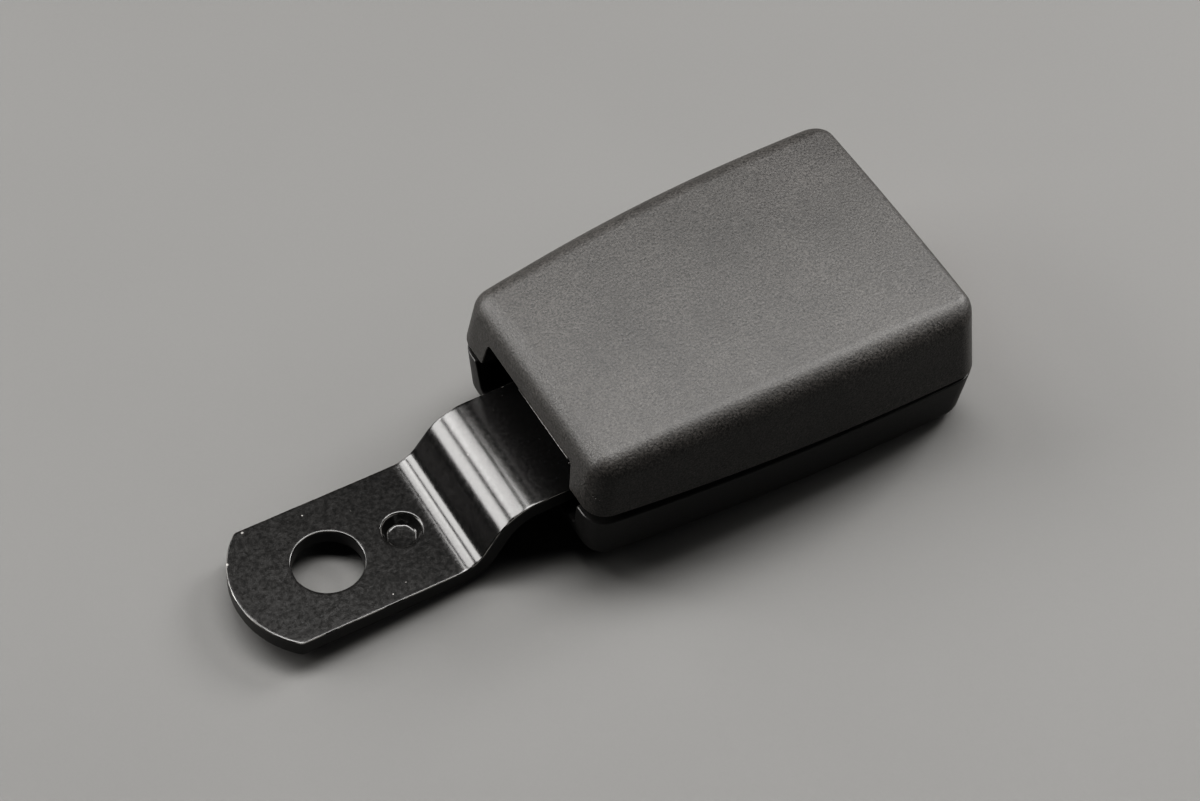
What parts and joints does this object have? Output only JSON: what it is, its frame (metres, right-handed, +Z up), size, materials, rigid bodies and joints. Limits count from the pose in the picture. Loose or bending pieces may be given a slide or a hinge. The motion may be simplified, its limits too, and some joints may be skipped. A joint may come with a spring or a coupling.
{
  "type": "seat belt buckle",
  "caption": "End-release seat belt buckle: grained two-piece casing, red push button and latch mechanism on a joggled black steel anchor plate with a bolt hole.",
  "frame": {"origin": "centre of the anchor bolt hole, on the anchor plate's underside, which is the seating face", "axes": "+X from the anchor hole towards the mouth that the tongue enters, +Z up through the anchor hole, Y across the casing"},
  "size_m": [0.1252, 0.0518, 0.0343],
  "materials": {
    "cover_upper": "fine grained matt, warm dark grey",
    "cover_lower": "fine grained matt, near black",
    "button_red": "satin red",
    "acetal_black": "moulded satin",
    "acetal_natural": "moulded satin",
    "guide_plastic": "moulded satin",
    "plate_black": "satin black coated steel with bright worn edges",
    "frame_steel": "zinc plated, passivated",
    "latch_steel": "hardened, tumbled",
    "pin_steel": "ground",
    "rivet_steel": "formed heads",
    "spring_steel": "drawn wire",
    "pad_felt": "dense felt"
  },
  "bodies": {
    "frame": {"upper_cover": "cover_upper", "lower_cover": "cover_lower", "latch_pivot_pin": "pin_steel", "pivot_pin_ring": "spring_steel", "latch_spring": "spring_steel", "ejector_spring": "spring_steel", "ejector_spring_rod": "pin_steel", "button_spring_left": "spring_steel", "button_spring_right": "spring_steel", "button_spring_rods": "pin_steel", "frame_channel": "frame_steel", "frame_bridge": "frame_steel", "anchor_plate": "plate_black", "anchor_rivets": "rivet_steel", "tongue_guide": "guide_plastic", "rattle_pads": "pad_felt"},
    "button": {"push_button": "button_red", "release_slider": "acetal_black", "lock_pin": "pin_steel"},
    "latch": {"latch_plate": "latch_steel"},
    "ejector": {"ejector": "acetal_natural"}
  },
  "joints": [
    {"name": "button_slide", "type": "slide", "parent": "frame", "child": "button", "axis": [-1, 0, 0], "range_m": [0, 0.005], "stiffness_N_per_m": 600, "springref_m": -0.008, "deforming": ["button_spring_left", "button_spring_right"]},
    {"name": "latch_pivot", "type": "hinge", "parent": "frame", "child": "latch", "pos_m": [0.058, 0, 0.0222], "axis": [0, -1, 0], "range_deg": [0, 7.01], "stiffness_Nm_per_rad": 0.27, "springref_deg": -11.46, "deforming": ["latch_spring"]},
    {"name": "ejector_slide", "type": "slide", "parent": "frame", "child": "ejector", "axis": [-1, 0, 0], "range_m": [0, 0.011], "stiffness_N_per_m": 300, "springref_m": -0.012, "deforming": ["ejector_spring"]}
  ],
  "couplings": [
    {"joint": "latch_pivot", "follows": "button_slide", "rad_per_m": 24.435}
  ]
}
